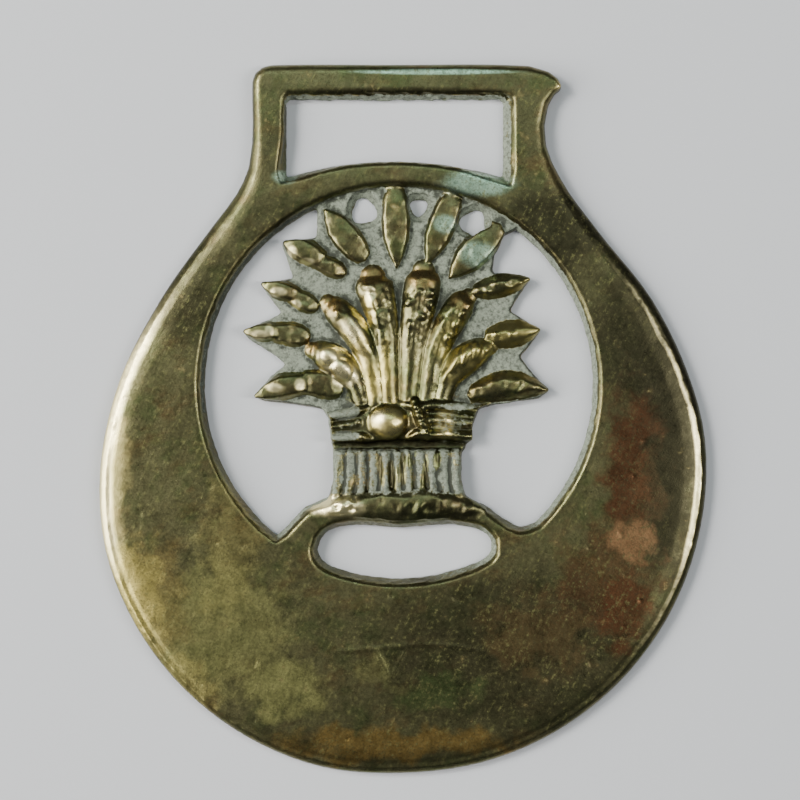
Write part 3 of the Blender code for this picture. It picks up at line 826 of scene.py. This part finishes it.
# Patches of colour on the plate and the sheaf: place, reach, colour, strength and how ragged
patches = [
    # Darker patches on the arms, the shoulders and the lower right: tarnish, and painted shade where
    # the flat face mirrors dim surroundings
    ((30, 12), (12, 20), "tarnishAndShade", 0.85, 1.0),
    ((33.5, -4), (8, 27), "tarnishAndShade", 0.95, 0.9),
    ((20, 24), (12, 10), "tarnishAndShade", 0.95, 0.9),
    ((-18.5, 36), (4, 10), "tarnishAndShade", 0.35, 1.0),
    ((-27, 17), (9, 13), "tarnishAndShade", 0.65, 1.0),
    ((-17, 24), (9, 7), "tarnishAndShade", 0.4, 1.0),
    ((14, -29), (30, 17), "tarnishAndShade", 0.7, 0.8),
    ((17, -27), (11, 9), "umber", 0.45, 1.4),
    # Lighter olive and honey on the lower left of the crescent: painted light
    ((-24, -26), (17, 14), "paleOlive", 0.7, 0.9),
    ((-15.5, -33.5), (9, 6), "paleOlive", 0.9, 1.2),
    ((-31, -22), (7, 12), "honey", 0.4, 1.2),
    ((4, -34), (9, 4), "moss", 0.7, 1.4),
    ((-3, -31.5), (5, 4), "paleOlive", 0.35, 1.4),
    ((-8, 30), (12, 3), "olive", 0.5, 0.8),
    ((25, -20), (10, 11), "rust", 0.6, 1.3),
    ((28.2, -5), (5.5, 15), "rust", 0.95, 1.0),
    ((27.8, -24), (5, 8), "rust", 0.8, 1.2),
    ((31.0, -8), (3.2, 9), "tan", 0.16, 1.6),
    ((28.8, -15.4), (4.9, 4.4), "tan", 0.9, 1.2),
    ((-1, -40.6), (24, 3.8), "honey", 0.95, 0.9),
    # A painted shade along the lower edge of the top bar, and a painted mint reflection along its top
    ((0, 40.9), (20, 1.0), "tarnishAndShade", 0.7, 0.5),
    ((4, 43.4), (15, 0.6), "mint", 0.95, 0.3),
    # A painted mint sheen under the slot and on the leaves below it
    ((9.3, 29.5), (6.8, 2.7), "mint", 0.95, 0.5),
    ((5.3, 24.4), (2.2, 1.8), "mint", 0.8, 0.4),
    ((9.3, 20.6), (3.4, 2.6), "mint", 0.85, 0.4),
    # Painted highlight: the golden glow of the rim and the plate on the lower left
    ((-34.5, -23), (6, 13), "oldGold", 0.75, 1.0),
    ((-27, -33), (6, 6), "oldGold", 0.35, 1.2),
    ((-22, -16), (6, 16), "oldGold", 0.2, 1.4),
    ((-14.8, 30.3), (2.4, 1.4), "mint", 0.8, 0.4),
    ((-11.6, 9.2), (1.6, 1.6), "headBrown", 0.8, 0.3),
    ((-8.9, 14.2), (2.2, 2.2), "headBrown", 0.8, 0.3),
    ((-4.0, 17.9), (3.4, 1.9), "headBrown", 0.75, 0.3),
    ((2.5, 17.7), (3.2, 2.2), "headBrown", 0.75, 0.3),
    ((7.4, 14.9), (2.6, 2.2), "headBrown", 0.6, 0.4),
    ((0.8, -1.2), (1.8, 3.0), "headBrown", 0.35, 0.3),
    ((5.1, -0.6), (2.0, 2.6), "gold", 0.6, 0.6),
    ((5.3, -11.4), (9, 2.4), "dirtAndShade", 0.5, 0.5),
    ((6.5, 4.3), (3.6, 1.7), "dirtAndShade", 0.25, 0.5),
]
# The same for patches that lie over the mottling: most are painted highlights on the ears, leaves,
# knot, foot and left rim, and the rest gold and olive tone
upperPatches = [
    ((-9.0, 7.6), (2.6, 2.2), "highlightGold", 1.0, 0.2),
    ((-7.2, 5.6), (2.4, 2.4), "highlightGold", 0.95, 0.2),
    ((-6.4, 10.6), (2.2, 3.0), "highlightGold", 1.0, 0.2),
    ((-5.2, 8.4), (1.6, 3.6), "gold", 0.9, 0.3),
    ((-3.9, 4.4), (1.2, 3.4), "oldGold", 0.6, 0.4),
    ((-4.4, 13.6), (1.5, 3.2), "gold", 0.9, 0.3),
    ((-2.2, 7.0), (1.0, 4.6), "oldGold", 0.6, 0.4),
    ((-2.0, -0.3), (3.2, 3.0), "gold", 0.8, 0.1),
    ((-36.4, -6), (3.2, 17), "gold", 0.35, 0.9),
    ((13.5, 10.5), (7, 10.5), "oldGold", 0.28, 0.8),
    ((7.6, 7.6), (4.5, 6.0), "oldGold", 0.32, 0.8),
    ((-8.3, -10.9), (5.4, 2.1), "highlightGold", 1.0, 0.5),
    ((-2.5, 5.0), (4.0, 6.0), "oldGold", 0.3, 0.8),
    ((2.4, 11.0), (2.4, 5.0), "olive", 0.5, 0.4),
    ((-17.9, 10.6), (1.8, 0.9), "highlightGold", 0.7, 0.7),
    ((-16.7, 11.0), (0.9, 1.4), "highlightGold", 0.6, 0.7),
    ((-15.6, 15.9), (1.6, 0.9), "highlightGold", 0.9, 0.3),
    ((-13.3, 14.3), (0.9, 1.0), "highlightGold", 0.7, 0.3),
    ((-13.8, 20.8), (1.0, 1.3), "highlightGold", 0.9, 0.3),
    ((-12.0, 19.7), (1.5, 0.7), "highlightGold", 0.7, 0.3),
    ((-16.0, 3.9), (1.9, 0.9), "highlightGold", 0.65, 0.7),
    ((-12.9, 4.3), (1.0, 1.3), "highlightGold", 0.45, 0.7),
    ((-3.0, 0.3), (1.5, 1.3), "highlightGold", 0.9, 0.2),
    ((-4.0, 15.6), (0.9, 1.6), "highlightGold", 0.8, 0.4),
]


def brassMaterial():
    f = brassFinish
    s = Shading("old_cast_brass")
    coords = s.add("ShaderNodeTexCoord", output="Object")
    place = s.add("ShaderNodeVectorMath", {"operation": "SCALE"}, {0: coords, "Scale": 1000})
    broad = s.noise(place, 0.10, 4)
    blotches = s.noise(place, 0.38, 5, 0.65)
    grain = s.noise(place, 1.9, 5, 0.72)
    specks = s.noise(place, 4.2, 3, 0.7)
    scratches = s.noise(s.turned(place, 62, 7), 2.6, 3, 0.6)
    streaks = s.noise(s.turned(place, 80, 8), 0.9, 4, 0.65)
    worn = s.attribute("worn")
    paintedHighlight = s.attribute("paintedHighlight")
    shadeAndDirt = s.attribute("shadeAndDirt")
    pale = s.attribute("pale")

    tarnished = (broad * 0.8 + blotches * 0.9 - 0.75).between(-0.05, 0.45)
    colour = s.blend(f["olive"], f["tarnishAndShade"], tarnished * 0.5)
    mossy = s.noise(place, 0.23, 3, 0.6)
    colour = s.blend(colour, f["moss"], mossy.between(0.45, 0.68) * 0.6)
    brownish = s.noise(s.turned(place, 20, 1.6), 0.31, 4, 0.65)
    colour = s.blend(colour, f["umber"], brownish.between(0.48, 0.72) * 0.55)
    loose = s.warped(place, 0.22, 9)

    def addPatches(colour, group):
        for centre, reach, name, strength, ragged in group:
            where = loose if min(reach) > f["looseFrom"] else place
            share = s.spot(where, centre, reach) * 1.6 + (blotches - 0.5) * (1.6 * ragged)
            share = share - 0.15 * ragged
            colour = s.blend(colour, f[name], share.between(0.05, 0.95) * strength)
        return colour

    colour = addPatches(colour, patches)
    # Fine mottling over everything, darker and lighter
    colour = s.blend(colour, f["tarnishAndShade"], (streaks * 0.5 + blotches * 0.5).between(0.50, 0.72) * 0.55)
    colour = s.blend(colour, f["tarnishAndShade"], (grain * 0.6 + specks * 0.6).between(0.55, 0.74) * 0.65)
    lighter = (grain * 0.6 + specks * 0.3 + scratches * 0.4).between(0.67, 0.82)
    # A painted shade over the right side of the plate, with fewer light specks there
    shadedRightSide = s.spot(place, *f["shadedRightSide"])
    colour = s.blend(colour, f["paleOlive"], lighter * (0.42 - shadedRightSide * 0.40))
    colour = s.blend(colour, f["dirtAndShade"], shadedRightSide * 0.5)
    colour = addPatches(colour, upperPatches)
    # Painted highlight on the left bevel, along the right line and on the flanks facing the lower left
    colour = s.blend(colour, f["highlightGold"], (paintedHighlight * (0.75 + grain * 0.5)).between(0.05, 1.0))
    # Dirt and painted shade in the hollows and gaps, under the band, at the edge's foot and on shaded
    # walls
    colour = s.blend(colour, f["dirtAndShade"], shadeAndDirt.between(0.15, 0.9) * 0.75)
    colour = s.blend(colour, f["gold"], (worn * (0.5 + grain)).between(0.2, 1.0) * 0.75)

    ragged = (grain - 0.5) * 1.3 + (specks - 0.5) * 0.8
    residueShare = (pale + ragged).between(0.30, 0.62)
    # The residue is darker where the grain is low, and where dirt and painted shade lie
    grimeAndShade = ((1 - grain) * 0.9 + (1 - specks) * 0.5 + shadeAndDirt * 0.5).between(0.55, 1.0)
    residue = s.blend(f["residue"], f["residueDark"], grimeAndShade)
    colour = s.blend(colour, residue, residueShare)

    roughness = f["roughness"] + (blotches - 0.5) * 0.30 + (grain - 0.5) * 0.35 - worn * 0.06
    roughness = roughness - s.spot(place, *f["polished"]) * 0.05
    roughness = roughness * (1 - residueShare) + f["residueRoughness"] * residueShare
    metalHeight = grain * 0.35 + specks * 0.30 + scratches * 0.35
    height = metalHeight * (1 - residueShare) + (grain * 1.0 + specks * 0.9) * residueShare
    bumps = s.add(
        "ShaderNodeBump", {},
        {"Strength": f["bumpStrength"], "Distance": f["bumpDistance"] / 1000, "Height": height},
        "Normal",
    )
    s.feed(s.shader.inputs["Base Color"], colour)
    s.feed(s.shader.inputs["Metallic"], 1 - residueShare * 0.85)
    s.feed(s.shader.inputs["Roughness"], roughness)
    s.feed(s.shader.inputs["Normal"], bumps)
    return s.material


# Floor, light and camera

setting = {
    "floorSize": 3000,
    "floorBelow": 0.1,
    "floorColour": (0.56, 0.57, 0.60, 1),
    "floorRoughness": 0.9,
    "ambient": (0.085, 0.095, 0.105, 1),
    "cameraHeight": 280,
    "nearestSeen": 10,
    "lens": 100,
    "viewMiddle": (-0.35, 2.39),
}
# Place and size in millimetres, power in watts; each faces the brass
lights = {
    "key": {
        "place": (-470, 190, 560), "size": (230, 230), "power": 5.0, "colour": (1, 0.98, 0.93),
    },
    "left_panel": {
        "place": (-620, -70, 350), "size": (520, 620), "power": 7.5, "colour": (1, 0.985, 0.93),
    },
    "right_strip": {
        "place": (400, -10, 500), "size": (30, 380), "power": 2.2, "colour": (1, 0.99, 0.95),
    },
    "sky_strip": {
        "place": (0, 250, 520), "size": (380, 60), "power": 0.45, "colour": (0.75, 0.98, 0.95),
    },
}


def makeSetting():
    bm = bmesh.new()
    bmesh.ops.create_grid(bm, x_segments=1, y_segments=1, size=setting["floorSize"] / 2 / 1000)
    bmesh.ops.translate(bm, verts=bm.verts, vec=(0, 0, -setting["floorBelow"] / 1000))
    mesh = bpy.data.meshes.new("floor")
    bm.to_mesh(mesh)
    bm.free()
    floor = bpy.data.objects.new("floor", mesh)
    bpy.context.scene.collection.objects.link(floor)
    paper = Shading("pale_floor")
    paper.feed(paper.shader.inputs["Base Color"], setting["floorColour"])
    paper.feed(paper.shader.inputs["Roughness"], setting["floorRoughness"])
    mesh.materials.append(paper.material)

    world = bpy.data.worlds.new("studio")
    world.use_nodes = True
    world.node_tree.nodes["Background"].inputs["Color"].default_value = setting["ambient"]
    bpy.context.scene.world = world
    for name, light in lights.items():
        data = bpy.data.lights.new(name, "AREA")
        data.shape = "RECTANGLE"
        data.size, data.size_y = (side / 1000 for side in light["size"])
        data.energy = light["power"]
        data.color = light["colour"]
        lamp = bpy.data.objects.new(name, data)
        lamp.location = Vector(light["place"]) / 1000
        lamp.rotation_euler = (-lamp.location).to_track_quat("-Z", "Y").to_euler()
        bpy.context.scene.collection.objects.link(lamp)

    camera = bpy.data.objects.new("camera", bpy.data.cameras.new("camera"))
    camera.data.lens = setting["lens"]
    camera.data.clip_start = setting["nearestSeen"] / 1000
    middle = setting["viewMiddle"]
    camera.location = Vector((middle[0], middle[1], setting["cameraHeight"])) / 1000
    bpy.context.scene.collection.objects.link(camera)
    bpy.context.scene.camera = camera
    print("floor, light and camera are in place")


def main():
    brass = makeBrass()
    brass.data.materials.clear()
    brass.data.materials.append(brassMaterial())
    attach(brass, "root")
    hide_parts("horse_brass")
    makeSetting()


main()
